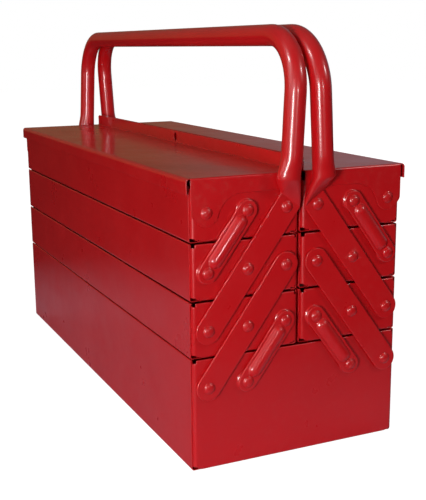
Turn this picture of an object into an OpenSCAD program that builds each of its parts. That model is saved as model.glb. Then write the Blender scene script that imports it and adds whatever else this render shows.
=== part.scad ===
// Cantilever toolbox folded from enamelled steel sheet.
//
// A base compartment carries two stacks of three trays, one stack on each long side.  Every level is
// joined to the next by riveted links on both end panels, so a stack swings outwards as a set of
// parallelograms when its tube handle is pulled.  Each upper tray has a lid that turns on its own
// outer rivets.
//
// Origin: centre of the underside of the base.  X runs along the box, Y across it, Z up.
// Everything is drawn for the left stack (-Y) and the front end (+X), then mirrored.

/* [Box] */
// Length over the outside faces of the end panels
body_l = 500; // [440:10:560]
// Width over both stacks of trays
body_w = 190; // [186:1:196]
// Height of the base compartment
base_h = 92.8; // [86:0.2:104]
// Height from one tray floor to the next
tray_pitch = 46.2; // [45:0.2:50]
// Gap between the left and right stacks
centre_gap = 2; // [1.6:0.2:3]
// Gap between a rim and the tray floor above it
level_gap = 0.8; // [0.6:0.1:1]

/* [Sheet metal] */
// Thickness of the pans, end panels and lids
sheet = 0.8; // [0.7:0.05:0.9]
// Outside radius of the bend between a floor and a long wall
floor_bend_r = 2; // [1.5:0.1:2.5]
// Outside radius of the upright bends of an end panel
corner_bend_r = 3; // [2.5:0.1:3.5]
// Depth of the hem folded over inside each rim
hem_h = 4.5; // [4:0.1:5]
// Radius of the foot of the pressed bosses that the links turn on
boss_r = 9; // [8:0.1:9.5]
// Height of those bosses
boss_h = 1.2; // [1.1:0.05:1.4]

/* [Links and rivets] */
// Spacing of the three rivets in a tray's end panel
rivet_pitch = 34; // [33:0.2:35]
// Radius of a rivet's shank
shank_r = 2.5; // [2:0.1:3]
// Radius of a rivet's domed head
head_r = 4.8; // [4.4:0.1:5.2]
// Height of a rivet's domed head
head_h = 2.2; // [1.8:0.1:2.6]
// Thickness of the links and of the flattened handle ends
link_t = 2; // [1.8:0.1:2.4]
// Width of the long links and of the flattened handle ends
long_link_w = 20.9; // [19:0.1:22]
// Width of the short links
short_link_w = 16.5; // [15.5:0.1:18]
// Width of the rib pressed along a short link
rib_w = 10.6; // [10:0.1:12]
// Height of that rib
rib_h = 3.4; // [2.8:0.1:3.8]

/* [Lids] */
// Height of the lid's top face above the upper tray's nominal top
lid_rise = 4; // [3.6:0.1:4.6]
// Depth of the skirt along the lid's outer edge
skirt_h = 12; // [11.5:0.1:12.5]
// Gap between the skirt and the upper tray's outer wall
skirt_gap = 2.6; // [2.4:0.1:3]
// Depth of the lid's end flanges
end_flange_h = 13.5; // [13:0.1:14]
// Height of the grip flange along the inner edge
grip_h = 11.5; // [10:0.1:12]
// Radius of the padlock hole in the grip flange
padlock_r = 4; // [3.5:0.1:4.2]

/* [Handles] */
// Outside diameter of the handle tube
tube_d = 17; // [16:0.1:17.4]
// Wall thickness of the handle tube
tube_wall = 1.2; // [1:0.1:1.5]
// Height of the grip bar's centre line
bar_z = 339; // [329:1:349]
// Distance from the middle of the box to the grip bar's centre line
bar_y = 8.9; // [8.8:0.1:9.6]
// Centre-line radius of the bends at the ends of the bar
tube_bend_r = 42; // [36:1:46]
// Lean of a handle's legs away from the middle of the box, in degrees
leg_lean = 3; // [2.6:0.1:3.2]

/* [Hidden] */

// Sides and ends, as the sign of the mirror that makes them
LEFT = 1;
RIGHT = -1;
FRONT = 1;
REAR = -1;

// Levels, counted up from the base
BASE = -1;
LOWER = 0;
MIDDLE = 1;
UPPER = 2;

// Rivets of a tray's end panel, counted from the tray's centre towards the middle of the box
OUTER = -1;
CENTRE = 0;
INNER = 1;

fit_gap = 0.05;    // between sheets that are welded together, and round a shank in its hole
run_gap = 0.1;     // between faces that slide on each other
overlap = 0.01;    // how far joined solids run into each other
big = 1000;        // longer than anything it has to cut

tray_w = (body_w - centre_gap) / 2;
tray_y = -(tray_w + centre_gap) / 2;
lid_top = base_h + 3 * tray_pitch + lid_rise;
lid_headroom = 4.8;                       // from the upper tray's rim to the lid's underside
upper_h = lid_top - sheet - lid_headroom - tray_z(UPPER);
tray_h = tray_pitch - level_gap;

hem_t = 2 * sheet + 0.2;
bead_r = 1.3;                             // rolled rim of an upper tray's outer wall
wall_l = body_l - 2 * corner_bend_r - 2 * fit_gap;
panel_lap = 9;                            // how far an end panel's flanges reach into the pan
floor_flange_inset = 6;                   // from the panel's side to the flange on the floor
notch_gap = 0.5;                          // from a side flange up to the hem's lower edge
corner_drop = 2.6;                        // from a panel's rim down to the top of its upright bends
boss_draft = 1.6;                         // how much a boss narrows from foot to top
boss_wall = 0.8;                          // how much smaller a boss is on the inside

link_x = body_l / 2 + boss_h + run_gap;   // inner face of every link
link_seat = link_x + link_t + run_gap;    // underside of the heads that hold them
lid_end_gap = 0.15;                       // from an end panel to a lid's end flange
lid_plate_x = body_l / 2 + lid_end_gap;   // inner face of a lid's end flange
lid_seat = lid_plate_x + sheet + run_gap; // underside of the heads that hold the lid
pin_hole_r = shank_r + fit_gap;
pin_hole_l = 10;                          // deeper than any stack of sheets it is cut through
closing_head_r = 4.5;                     // rivet's closed end, inside the tray
closing_head_h = 1.4;

link_step = norm([rivet_pitch, tray_pitch]);
link_angle = atan(rivet_pitch / tray_pitch);
rib_r = (rib_w * rib_w / 4 + rib_h * rib_h) / (2 * rib_h);
rib_inset = 11;                           // from a short link's pivot to the rib's end centre

lid_l = 2 * (lid_plate_x + sheet);
lid_outer = tray_y - tray_w / 2 - skirt_gap - sheet;
lid_inner = -centre_gap / 2 - 0.3;
lid_bend_r = 3.2;
ear_r = 10.5;                             // round the lid's pivot
ear_fillet_r = 22;                        // where the ear sweeps up into the flange

tube_r = tube_d / 2;
bore_r = tube_r - tube_wall;
leg_x = link_x + tube_r;
leg_foot_z = 249;                         // where the round tube starts to swell sideways
leg_foot = (bar_z - leg_foot_z) / cos(leg_lean);
swell_l = 18;                             // from there to where it is pressed flat
swell_across = 1.3;                       // how much wider it is there, each way
swell_shift = 1.3;                        // and how far it has moved away from the middle
swell_flat = 1;                           // and how much thinner it is, each way
crease = 6;                               // from the upper rivet to the end of the flat part
press_step = 0.1;                         // the pressed stretch is this much slimmer than its ends
press_slice = 0.5;                        // thickness of the slices it is stretched between

$fn = 48;

function tray_z(level) = base_h + level * tray_pitch + level_gap / 2;
function level_h(level) = level == BASE ? base_h : level == UPPER ? upper_h : tray_h;
function floor_z(level) = level == BASE ? 0 : tray_z(level);
function level_w(level) = level == BASE ? body_w : tray_w;
function level_y(level) = level == BASE ? 0 : tray_y;
function rivet_y(place) = tray_y + place * rivet_pitch;
function rivet_z(level) = base_h + (level + 0.5) * tray_pitch;

// Where the rivets sit on an end panel, and which of them stand on a pressed boss
function rivet_places(level) = level == BASE ? [OUTER, CENTRE] : [OUTER, CENTRE, INNER];
function holds_lid(level, place) = level == UPPER && place == OUTER;

// ---- placing ---------------------------------------------------------------------------------

module on_side(side) {
    mirror([0, side == LEFT ? 0 : 1, 0]) children();
}

module at_end(end) {
    mirror([end == FRONT ? 0 : 1, 0, 0]) children();
}

// Turns a drawing in the YZ plane into a solid that runs along X
module along_x(length) {
    rotate([90, 0, 90]) linear_extrude(length) children();
}

// A rod along X, starting at x
module rod_x(x, radius, length) {
    translate([x, 0, 0]) rotate([0, 90, 0]) cylinder(r = radius, h = length);
}

// A rivet's hole through the sheets about x
module pin_hole(x) {
    rod_x(x - pin_hole_l / 2, pin_hole_r, pin_hole_l);
}

module at_rivet(level, place) {
    translate([0, rivet_y(place), rivet_z(level)]) children();
}

// The frame of a link: its lower pivot at the origin, and its length up Z
module at_link(level, place) {
    at_rivet(level, place) rotate([-link_angle, 0, 0]) children();
}

// ---- pans ------------------------------------------------------------------------------------

// Upright rectangle whose two lower corners are round
module trough_2d(w, h, r) {
    translate([-w / 2, r]) square([w, h - r]);
    translate([r - w / 2, 0]) square([w - 2 * r, r + overlap]);
    for (s = [-1, 1])
        translate([s * (w / 2 - r), r]) circle(r);
}

// Cross-section of a pan: floor, two walls, and a hem folded inwards along each rim
module pan_2d(w, h) {
    wall_h = h - hem_t / 2;
    difference() {
        trough_2d(w, wall_h, floor_bend_r);
        translate([0, sheet]) trough_2d(w - 2 * sheet, h, floor_bend_r - sheet);
    }
    for (s = [-1, 1])
        translate([s * (w - hem_t) / 2, wall_h]) {
            circle(d = hem_t);
            translate([-hem_t / 2, hem_t / 2 - hem_h]) square([hem_t, hem_h - hem_t / 2]);
        }
}

module pan(level) {
    w = level_w(level);
    h = level_h(level);
    color("firebrick")
        translate([-wall_l / 2, level_y(level), floor_z(level)])
            along_x(wall_l) {
                pan_2d(w, h);
                if (level == UPPER) translate([-w / 2, h - bead_r]) circle(bead_r);
            }
}

// ---- end panels ------------------------------------------------------------------------------

// Plan of an end panel: a plate whose two sides turn back along the walls
module panel_plan_2d(w, r) {
    for (s = [-1, 1])
        translate([body_l / 2 - r, s * (w / 2 - r)]) circle(r);
    translate([body_l / 2 - r, r - w / 2]) square([r, w - 2 * r]);
    translate([body_l / 2 - panel_lap, -w / 2]) square([panel_lap - r, w]);
}

module panel_band_2d(w) {
    difference() {
        panel_plan_2d(w, corner_bend_r);
        translate([-sheet, 0]) panel_plan_2d(w - 2 * sheet, corner_bend_r - sheet);
    }
}

// The panel's upright bends, and the lower flanges that lap behind the walls of the pan
module panel_sides(w, flange_h, bend_h) {
    linear_extrude(flange_h) panel_band_2d(w);
    linear_extrude(bend_h)
        intersection() {
            panel_band_2d(w);
            translate([body_l / 2 - corner_bend_r, -w / 2]) square([corner_bend_r, w]);
        }
}

// Flat part of the panel: the hemmed plate between the bends, and the flange on the floor
module panel_plate(w, h) {
    flat_w = w - 2 * corner_bend_r;
    flange_w = w - 2 * floor_flange_inset;
    translate([body_l / 2 - sheet, -flat_w / 2, 0]) cube([sheet, flat_w, h - hem_t / 2]);
    translate([body_l / 2 - hem_t, -flat_w / 2, h - hem_h])
        cube([hem_t, flat_w, hem_h - hem_t / 2]);
    translate([body_l / 2 - hem_t / 2, -flat_w / 2, h - hem_t / 2])
        rotate([-90, 0, 0]) cylinder(d = hem_t, h = flat_w);
    translate([body_l / 2 - panel_lap, -flange_w / 2, 0])
        cube([panel_lap - sheet + overlap, flange_w, sheet]);
}

// Pressed boss, drawn as the solid that is added outside or taken away inside
module boss(x, foot_r) {
    translate([x, 0, 0]) rotate([0, 90, 0])
        cylinder(r1 = foot_r, r2 = foot_r - boss_draft, h = boss_h);
}

// An end panel before its bosses and holes; its sides start above the bend of the pan's floor
module end_panel_blank(level) {
    rise = sheet + fit_gap;
    foot = floor_bend_r - sheet;
    w = level_w(level) - 2 * rise;
    h = level_h(level) - rise;
    translate([0, level_y(level), floor_z(level) + rise]) {
        translate([0, 0, foot])
            panel_sides(w, h - hem_h - notch_gap - foot, h - corner_drop - foot);
        panel_plate(w, h);
    }
}

module on_bosses(level) {
    for (place = rivet_places(level))
        if (!holds_lid(level, place)) {
            at_rivet(level, place) children();
            if (level == BASE) mirror([0, 1, 0]) at_rivet(level, place) children();
        }
}

module on_rivets(level) {
    on_bosses(level) children();
    if (level == UPPER) at_rivet(level, OUTER) children();
}

module end_panel(level) {
    face = body_l / 2;
    color("red")
        difference() {
            union() {
                end_panel_blank(level);
                on_bosses(level) boss(face - overlap, boss_r);
            }
            on_bosses(level) boss(face - sheet - overlap, boss_r - boss_wall);
            on_rivets(level) pin_hole(face);
        }
}

// ---- rivets ----------------------------------------------------------------------------------

// Half section of a rivet, from the inner face it is closed on to the seat of its domed head
module rivet_2d(inner_face, seat) {
    sphere_r = (head_r * head_r + head_h * head_h) / (2 * head_h);
    closed_end = inner_face - fit_gap - closing_head_h;
    translate([0, closed_end]) square([closing_head_r, closing_head_h]);
    translate([0, closed_end]) square([shank_r, seat - closed_end + overlap]);
    intersection() {
        translate([0, seat + head_h - sphere_r]) circle(sphere_r);
        translate([0, seat]) square([head_r + 1, head_h + 1]);
    }
}

module rivet(inner_face, seat) {
    rotate([0, 90, 0]) rotate_extrude() rivet_2d(inner_face, seat);
}

module rivets(level) {
    face = body_l / 2 - sheet;
    color("darkred")
        for (end = [FRONT, REAR])
            at_end(end) {
                on_bosses(level) rivet(face + boss_h, link_seat);
                if (level == UPPER) at_rivet(level, OUTER) rivet(face, lid_seat);
            }
}

// ---- links -----------------------------------------------------------------------------------

module strip_2d(length, w) {
    translate([-w / 2, 0]) square([w, length]);
    circle(d = w);
    translate([0, length]) circle(d = w);
}

module pivot_holes(count) {
    for (i = [0 : count - 1])
        translate([0, 0, i * link_step]) pin_hole(link_x);
}

// Flat link across three rivets
module long_link() {
    color("crimson")
        difference() {
            translate([link_x, 0, 0]) along_x(link_t) strip_2d(2 * link_step, long_link_w);
            pivot_holes(3);
        }
}

// The rib's solid for a given radius, sunk so that only its back shows
module rib(radius) {
    span = link_step - 2 * rib_inset;
    translate([link_x + link_t + rib_h - rib_r, 0, rib_inset]) {
        cylinder(r = radius, h = span);
        sphere(radius);
        translate([0, 0, span]) sphere(radius);
    }
}

// Short link across two rivets, stiffened by a hollow rib pressed outwards
module short_link() {
    color("crimson")
        difference() {
            union() {
                translate([link_x, 0, 0]) along_x(link_t) strip_2d(link_step, short_link_w);
                intersection() {
                    rib(rib_r);
                    translate([link_x + link_t - overlap, -big / 2, -big / 2]) cube(big);
                }
            }
            rib(rib_r - link_t);
            pivot_holes(2);
        }
}

// ---- lids ------------------------------------------------------------------------------------

// Cross-section of a lid: skirt, plate and upstanding grip flange
module lid_2d() {
    r = lid_bend_r;
    inner_r = r - sheet;
    difference() {
        union() {
            translate([lid_outer, lid_top - skirt_h]) square([sheet, skirt_h - r]);
            translate([lid_outer + r, lid_top - r]) circle(r);
        }
        translate([lid_outer + r, lid_top - r]) circle(inner_r);
        translate([lid_outer + r, lid_top - 2 * r]) square([2 * r, 2 * r]);
        translate([lid_outer + sheet, lid_top - 2 * r]) square([r, r]);
    }
    translate([lid_outer + r, lid_top - sheet])
        square([lid_inner - lid_outer - r, sheet]);
    translate([lid_inner - sheet, lid_top - sheet]) square([sheet, sheet + grip_h]);
}

// Outline of a lid's end flange about its pivot: an ear that sweeps up into a long straight edge
module end_flange_2d() {
    top = lid_top - rivet_z(UPPER);
    edge = top - end_flange_h;
    left = tray_y - tray_w / 2 - rivet_y(OUTER);
    right = lid_inner - rivet_y(OUTER);
    sweep_z = edge - ear_fillet_r;
    sweep_y = sqrt(pow(ear_r + ear_fillet_r, 2) - sweep_z * sweep_z);
    tangent = atan2(-sweep_z, -sweep_y);
    circle(ear_r);
    difference() {
        polygon([
            [-ear_r, 0], [left, edge], [left, top - overlap], [right - sheet, top - overlap],
            [right - sheet, edge], [sweep_y, edge],
            [sweep_y + ear_fillet_r * cos(tangent), sweep_z + ear_fillet_r * sin(tangent)]
        ]);
        translate([sweep_y, sweep_z]) circle(ear_fillet_r);
    }
}

module lid() {
    color("red")
        difference() {
            union() {
                translate([-lid_l / 2, 0, 0]) along_x(lid_l) lid_2d();
                for (end = [FRONT, REAR])
                    at_end(end) translate([lid_plate_x, 0, 0]) at_rivet(UPPER, OUTER)
                        along_x(sheet) end_flange_2d();
            }
            for (end = [FRONT, REAR])
                at_end(end) at_rivet(UPPER, OUTER) pin_hole(lid_plate_x);
            translate([0, lid_inner - sheet / 2, lid_top + grip_h / 2])
                rotate([90, 0, 0]) cylinder(r = padlock_r, h = 2 * sheet, center = true);
        }
}

// ---- handles ---------------------------------------------------------------------------------

// One half of the bent tube, drawn about the centre of its bend: the bend, the leg and half the bar
module half_tube(radius) {
    reach = leg_x - tube_bend_r;
    translate([reach, 0, -tube_bend_r]) rotate([90, 0, 0]) {
        rotate_extrude(angle = 90) translate([tube_bend_r, 0]) circle(radius);
        translate([tube_bend_r, 0, 0]) rotate([90, 0, 0])
            cylinder(r = radius, h = leg_foot - tube_bend_r);
        rotate(90) translate([tube_bend_r, 0, 0]) rotate([-90, 0, 0])
            cylinder(r = radius, h = reach);
    }
}

module in_handle_plane() {
    translate([0, -bar_y, bar_z]) rotate([-leg_lean, 0, 0]) children();
}

// Flat end of the tube, riveted across three levels
module flat_end() {
    at_link(LOWER, OUTER)
        difference() {
            translate([link_x, 0, 0]) along_x(link_t) {
                strip_2d(2 * link_step, long_link_w);
                translate([-long_link_w / 2, 0])
                    square([long_link_w, 2 * link_step + crease]);
            }
            pivot_holes(3);
        }
}

// Thin slice across a leg at a distance from the bar, as the end of a hull
module leg_slice(distance, half_out, half_across, shift) {
    in_handle_plane() translate([link_x + half_out, -shift, -distance])
        scale([1, half_across / half_out, 1])
            cylinder(r = half_out - press_step, h = press_slice);
}

module swollen_slice() {
    leg_slice(leg_foot + swell_l, tube_r - swell_flat, tube_r + swell_across, swell_shift);
}

// Where the tube is pressed from round to flat: it swells sideways, then runs into the arm
module pressed_end() {
    hull($fn = 32) {
        leg_slice(leg_foot, tube_r, tube_r, 0);
        swollen_slice();
    }
    hull($fn = 32) {
        swollen_slice();
        at_link(UPPER, INNER)
            translate([link_x + press_step, press_step - long_link_w / 2, crease - press_slice])
                cube([link_t - 2 * press_step, long_link_w - 2 * press_step, press_slice]);
    }
}

module handle() {
    color("red") {
        for (end = [FRONT, REAR])
            at_end(end) {
                flat_end();
                pressed_end();
            }
        in_handle_plane()
            difference() {
                for (end = [FRONT, REAR]) at_end(end) half_tube(tube_r);
                for (end = [FRONT, REAR]) at_end(end) half_tube(bore_r);
            }
    }
}

// ---- nodes -----------------------------------------------------------------------------------

pan(BASE);  // base_pan
at_end(FRONT) end_panel(BASE);  // base_front_end
at_end(REAR) end_panel(BASE);  // base_rear_end
rivets(BASE);  // base_rivets

on_side(LEFT) pan(LOWER);  // left_lower_pan
on_side(LEFT) at_end(FRONT) end_panel(LOWER);  // left_lower_front_end
on_side(LEFT) at_end(REAR) end_panel(LOWER);  // left_lower_rear_end
on_side(LEFT) rivets(LOWER);  // left_lower_rivets
on_side(LEFT) pan(MIDDLE);  // left_middle_pan
on_side(LEFT) at_end(FRONT) end_panel(MIDDLE);  // left_middle_front_end
on_side(LEFT) at_end(REAR) end_panel(MIDDLE);  // left_middle_rear_end
on_side(LEFT) rivets(MIDDLE);  // left_middle_rivets
on_side(LEFT) pan(UPPER);  // left_upper_pan
on_side(LEFT) at_end(FRONT) end_panel(UPPER);  // left_upper_front_end
on_side(LEFT) at_end(REAR) end_panel(UPPER);  // left_upper_rear_end
on_side(LEFT) rivets(UPPER);  // left_upper_rivets
on_side(LEFT) lid();  // left_lid
on_side(LEFT) handle();  // left_handle

on_side(LEFT) at_end(FRONT) at_link(BASE, OUTER) long_link();  // left_long_link_front
on_side(LEFT) at_end(REAR) at_link(BASE, OUTER) long_link();  // left_long_link_rear
on_side(LEFT) at_end(FRONT) at_link(BASE, CENTRE) short_link();  // left_low_link_front
on_side(LEFT) at_end(REAR) at_link(BASE, CENTRE) short_link();  // left_low_link_rear
on_side(LEFT) at_end(FRONT) at_link(MIDDLE, OUTER) short_link();  // left_high_link_front
on_side(LEFT) at_end(REAR) at_link(MIDDLE, OUTER) short_link();  // left_high_link_rear

on_side(RIGHT) pan(LOWER);  // right_lower_pan
on_side(RIGHT) at_end(FRONT) end_panel(LOWER);  // right_lower_front_end
on_side(RIGHT) at_end(REAR) end_panel(LOWER);  // right_lower_rear_end
on_side(RIGHT) rivets(LOWER);  // right_lower_rivets
on_side(RIGHT) pan(MIDDLE);  // right_middle_pan
on_side(RIGHT) at_end(FRONT) end_panel(MIDDLE);  // right_middle_front_end
on_side(RIGHT) at_end(REAR) end_panel(MIDDLE);  // right_middle_rear_end
on_side(RIGHT) rivets(MIDDLE);  // right_middle_rivets
on_side(RIGHT) pan(UPPER);  // right_upper_pan
on_side(RIGHT) at_end(FRONT) end_panel(UPPER);  // right_upper_front_end
on_side(RIGHT) at_end(REAR) end_panel(UPPER);  // right_upper_rear_end
on_side(RIGHT) rivets(UPPER);  // right_upper_rivets
on_side(RIGHT) lid();  // right_lid
on_side(RIGHT) handle();  // right_handle

on_side(RIGHT) at_end(FRONT) at_link(BASE, OUTER) long_link();  // right_long_link_front
on_side(RIGHT) at_end(REAR) at_link(BASE, OUTER) long_link();  // right_long_link_rear
on_side(RIGHT) at_end(FRONT) at_link(BASE, CENTRE) short_link();  // right_low_link_front
on_side(RIGHT) at_end(REAR) at_link(BASE, CENTRE) short_link();  // right_low_link_rear
on_side(RIGHT) at_end(FRONT) at_link(MIDDLE, OUTER) short_link();  // right_high_link_front
on_side(RIGHT) at_end(REAR) at_link(MIDDLE, OUTER) short_link();  // right_high_link_rear
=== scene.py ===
"""The looks of a cantilever toolbox: every sheet, strip, tube and rivet modelled over its CAD frame."""

import math

import bmesh
import bpy
import numpy as np
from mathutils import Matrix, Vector


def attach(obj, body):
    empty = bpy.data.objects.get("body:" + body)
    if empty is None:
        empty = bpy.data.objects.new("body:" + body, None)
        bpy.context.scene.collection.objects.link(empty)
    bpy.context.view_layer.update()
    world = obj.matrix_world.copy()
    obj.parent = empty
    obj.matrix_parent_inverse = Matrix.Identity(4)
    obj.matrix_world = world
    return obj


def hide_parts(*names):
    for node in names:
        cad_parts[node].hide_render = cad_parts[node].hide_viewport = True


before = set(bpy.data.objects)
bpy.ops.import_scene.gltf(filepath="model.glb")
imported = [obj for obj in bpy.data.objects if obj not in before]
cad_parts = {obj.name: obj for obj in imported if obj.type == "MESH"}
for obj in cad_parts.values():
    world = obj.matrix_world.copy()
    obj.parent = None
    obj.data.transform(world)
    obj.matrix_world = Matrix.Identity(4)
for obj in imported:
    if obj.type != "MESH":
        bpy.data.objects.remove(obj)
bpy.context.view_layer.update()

# ---- sizes, in millimetres ---------------------------------------------------------------------

MM = 0.001

BODY_L = 500.0
BODY_W = 190.0
BASE_H = 92.8
PITCH = 46.2
LEVEL_GAP = 0.8
TRAY_W = 94.0
TRAY_Y = -48.0
LID_TOP = 235.4

SHEET = 0.8
FIT_GAP = 0.05
FLOOR_BEND = 2.0
CORNER_BEND = 3.0
HEM_H = 4.5
HEM_T = 1.8
EDGE = 0.28                # rounding of a sheet's cut edges

RIVET_PITCH = 34.0
HOLE_R = 2.55
BOSS_R = 8.9
BOSS_TOP_R = 7.2
BOSS_H = 1.2
BLOCK = 9.15               # half the square of sheet that is laid out round a rivet

LINK_X = 251.3
LINK_T = 2.0
LONG_W = 20.9
SHORT_W = 16.5
LINK_STEP = math.hypot(RIVET_PITCH, PITCH)
LINK_ANGLE = math.atan2(RIVET_PITCH, PITCH)

BASE, LOWER, MIDDLE, UPPER = -1, 0, 1, 2
OUTER, CENTRE, INNER = -1, 0, 1
LEVELS = {"lower": LOWER, "middle": MIDDLE, "upper": UPPER}
SIDES = {"left": 1, "right": -1}
ENDS = {"front": 1, "rear": -1}


def floor_z(level):
    return 0.0 if level == BASE else BASE_H + level * PITCH + LEVEL_GAP / 2


def level_h(level):
    if level == BASE:
        return BASE_H
    return 44.2 if level == UPPER else PITCH - LEVEL_GAP


def level_w(level):
    return BODY_W if level == BASE else TRAY_W


def level_y(level):
    return 0.0 if level == BASE else TRAY_Y


def rivet_y(place):
    return TRAY_Y + place * RIVET_PITCH


def rivet_z(level):
    return BASE_H + (level + 0.5) * PITCH


# ---- folded sheets -----------------------------------------------------------------------------

def smooth(t):
    """Eases from 0 to 1 as t does"""
    t = np.clip(t, 0, 1)
    return t * t * (3 - 2 * t)


def spaced(stops, step):
    """Values that pass through every stop with no gap much wider than step"""
    values = [stops[0]]
    for low, high in zip(stops, stops[1:]):
        count = max(1, round((high - low) / step))
        values += [low + (high - low) * (i + 1) / count for i in range(count)]
    return values


def merged(*lists):
    """All the values in order, without repeats"""
    return sorted({round(float(value), 4) for values in lists for value in values})


class Fold:
    """The middle line of a folded sheet, walked from its first edge: straights and bends.

    Distance along it is measured so that the point called zero has distance 0. A sheet's outer
    face is on the right of the walk.
    """

    def __init__(self, start, heading, steps, zero=0.0):
        point, heading = np.array(start, float), math.radians(heading)
        self.points, self.normals, self.distance = [], [], []
        self.stops = [-zero]
        walked = -zero
        self._add(point, heading, walked)
        for kind, size, *turn in steps:
            if kind == "go":
                point = point + size * np.array([math.cos(heading), math.sin(heading)])
                walked += size
                self._add(point, heading, walked)
                self.stops.append(walked)
                continue
            angle = math.radians(turn[0])
            side = math.copysign(1, angle)
            centre = point + size * side * np.array([-math.sin(heading), math.cos(heading)])
            count = max(2, round(abs(turn[0]) / 15))
            for _ in range(count):
                heading += angle / count
                walked += size * abs(angle) / count
                point = centre - size * side * np.array([-math.sin(heading), math.cos(heading)])
                self._add(point, heading, walked)
                self.stops.append(walked)

    def _add(self, point, heading, walked):
        self.points.append(point)
        self.normals.append([math.sin(heading), -math.cos(heading)])
        self.distance.append(walked)

    def at(self, distance):
        """Points and outward normals at these distances"""
        points, normals = np.array(self.points), np.array(self.normals)
        along = [np.interp(distance, self.distance, column) for column in points.T]
        out = np.array([np.interp(distance, self.distance, column) for column in normals.T])
        return np.array(along), out / np.linalg.norm(out, axis=0)


class Sheet:
    """Quads laid out flat in the sheet's own plane, before it is folded"""

    def __init__(self):
        self.points, self.index, self.faces = [], {}, []

    def vertex(self, a, b):
        key = (round(a, 4), round(b, 4))
        if key not in self.index:
            self.index[key] = len(self.points)
            self.points.append((a, b))
        return self.index[key]

    def quad(self, *corners):
        self.faces.append([self.vertex(*corner) for corner in corners])

    def grid(self, a_lines, b_lines, keep):
        """The cells of a grid whose middles satisfy keep(a, b)"""
        for a0, a1 in zip(a_lines, a_lines[1:]):
            for b0, b1 in zip(b_lines, b_lines[1:]):
                if keep((a0 + a1) / 2, (b0 + b1) / 2):
                    self.quad((a0, b0), (a1, b0), (a1, b1), (a0, b1))

    def rings(self, rim, centre, radii):
        """Rings of quads from a closed rim of points, walked anticlockwise, down to a round hole"""
        rim = [np.array(point, float) for point in rim]
        centre = np.array(centre, float)
        away = [(point - centre) / np.linalg.norm(point - centre) for point in rim]
        rows = [rim] + [[centre + radius * d for d in away] for radius in radii]
        for outer, inner in zip(rows, rows[1:]):
            for i in range(len(rim)):
                j = (i + 1) % len(rim)
                self.quad(outer[i], outer[j], inner[j], inner[i])

    def rim(self):
        """Outward direction of the sheet's edge at every vertex that lies on it, and its edges"""
        sides = {}
        for face in self.faces:
            for i, start in enumerate(face):
                sides[(start, face[(i + 1) % len(face)])] = True
        edges = [side for side in sides if (side[1], side[0]) not in sides]
        outward = {}
        for start, end in edges:
            d = np.subtract(self.points[end], self.points[start])
            normal = np.array([d[1], -d[0]]) / np.linalg.norm(d)
            for vertex in (start, end):
                outward.setdefault(vertex, []).append(normal)
        miter = {}
        for vertex, normals in outward.items():
            total = np.sum(normals, axis=0)
            length = np.linalg.norm(total)
            miter[vertex] = total * (2 / max(length, 1) ** 2) if length > 1e-6 else total
        return miter, edges


def rim_steps(thickness, edge):
    """Inset and depth of the points across a sheet's rounded edge, from its outer face in"""
    half_way = edge * (1 - math.sqrt(0.5))
    return [(edge, 0.0), (half_way, half_way), (0.0, edge),
            (0.0, thickness - edge), (half_way, thickness - half_way), (edge, thickness)]


def thicken(sheet, place, thickness=SHEET, edge=EDGE):
    """Vertices and faces of a closed solid. place(a, b) gives middle points and outward normals."""
    flat = np.array(sheet.points)
    count = len(flat)
    miter, edges = sheet.rim()
    inward = np.zeros_like(flat)
    for vertex, direction in miter.items():
        inward[vertex] = direction

    def layer(inset, depth, chosen):
        where = flat[chosen] - inset * inward[chosen]
        points, normals = place(where[:, 0], where[:, 1])
        return (points + normals * (thickness / 2 - depth)).T

    every = np.arange(count)
    vertices = [layer(edge, 0.0, every), layer(edge, thickness, every)]
    faces = [list(face) for face in sheet.faces]
    faces += [[count + v for v in reversed(face)] for face in sheet.faces]
    border = np.array(sorted(miter))
    row_of = {vertex: row for row, vertex in enumerate(border)}
    rows = [dict(zip(border, border))]
    base = 2 * count
    for inset, depth in rim_steps(thickness, edge)[1:-1]:
        vertices.append(layer(inset, depth, border))
        rows.append({vertex: base + row_of[vertex] for vertex in border})
        base += len(border)
    rows.append({vertex: count + vertex for vertex in border})
    for upper, lower in zip(rows, rows[1:]):
        for start, end in edges:
            faces.append([upper[end], upper[start], lower[start], lower[end]])
    return np.concatenate(vertices), faces


def square_rim(a, b, half, cells):
    """Points round a square of the grid, anticlockwise from its lower left corner"""
    steps = [half * (2 * i / cells - 1) for i in range(cells)]
    return ([(a + s, b - half) for s in steps] + [(a + half, b + s) for s in steps]
            + [(a - s, b + half) for s in steps] + [(a - half, b - s) for s in steps])


def skin(rings, count):
    """Quads between successive rings of points, closed at both ends"""
    faces = []
    for low in range(0, (rings - 1) * count, count):
        for i in range(count):
            j = (i + 1) % count
            faces.append([low + i, low + j, low + count + j, low + count + i])
    last = (rings - 1) * count
    return faces + [list(range(count))[::-1], list(range(last, last + count))]


# ---- objects -----------------------------------------------------------------------------------

SAME_POINT = 1e-7          # metres


def mesh_object(name, parts, side=1, end=1):
    """An object from (vertices in millimetres, faces), mirrored to its side and end of the box"""
    mesh = bpy.data.meshes.new(name)
    vertices, faces = [], []
    for points, polygons in parts:
        faces += [[len(vertices) + v for v in polygon] for polygon in polygons]
        vertices += [(end * x * MM, side * y * MM, z * MM) for x, y, z in points]
    mesh.from_pydata(vertices, [], faces)
    shape = bmesh.new()
    shape.from_mesh(mesh)
    bmesh.ops.remove_doubles(shape, verts=shape.verts, dist=SAME_POINT)
    bmesh.ops.recalc_face_normals(shape, faces=shape.faces)
    shape.to_mesh(mesh)
    shape.free()
    mesh.shade_smooth()
    obj = bpy.data.objects.new(name, mesh)
    bpy.context.scene.collection.objects.link(obj)
    weigh = obj.modifiers.new("even_faces", "WEIGHTED_NORMAL")
    weigh.mode = "FACE_AREA"
    weigh.weight = 80
    return obj


def dress(obj, node, body, slot):
    """Gives a piece its body and its finish, and hides the CAD node it stands for"""
    obj.data.materials.append(MATERIALS[slot])
    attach(obj, body)
    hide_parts(node)
    return obj


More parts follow.
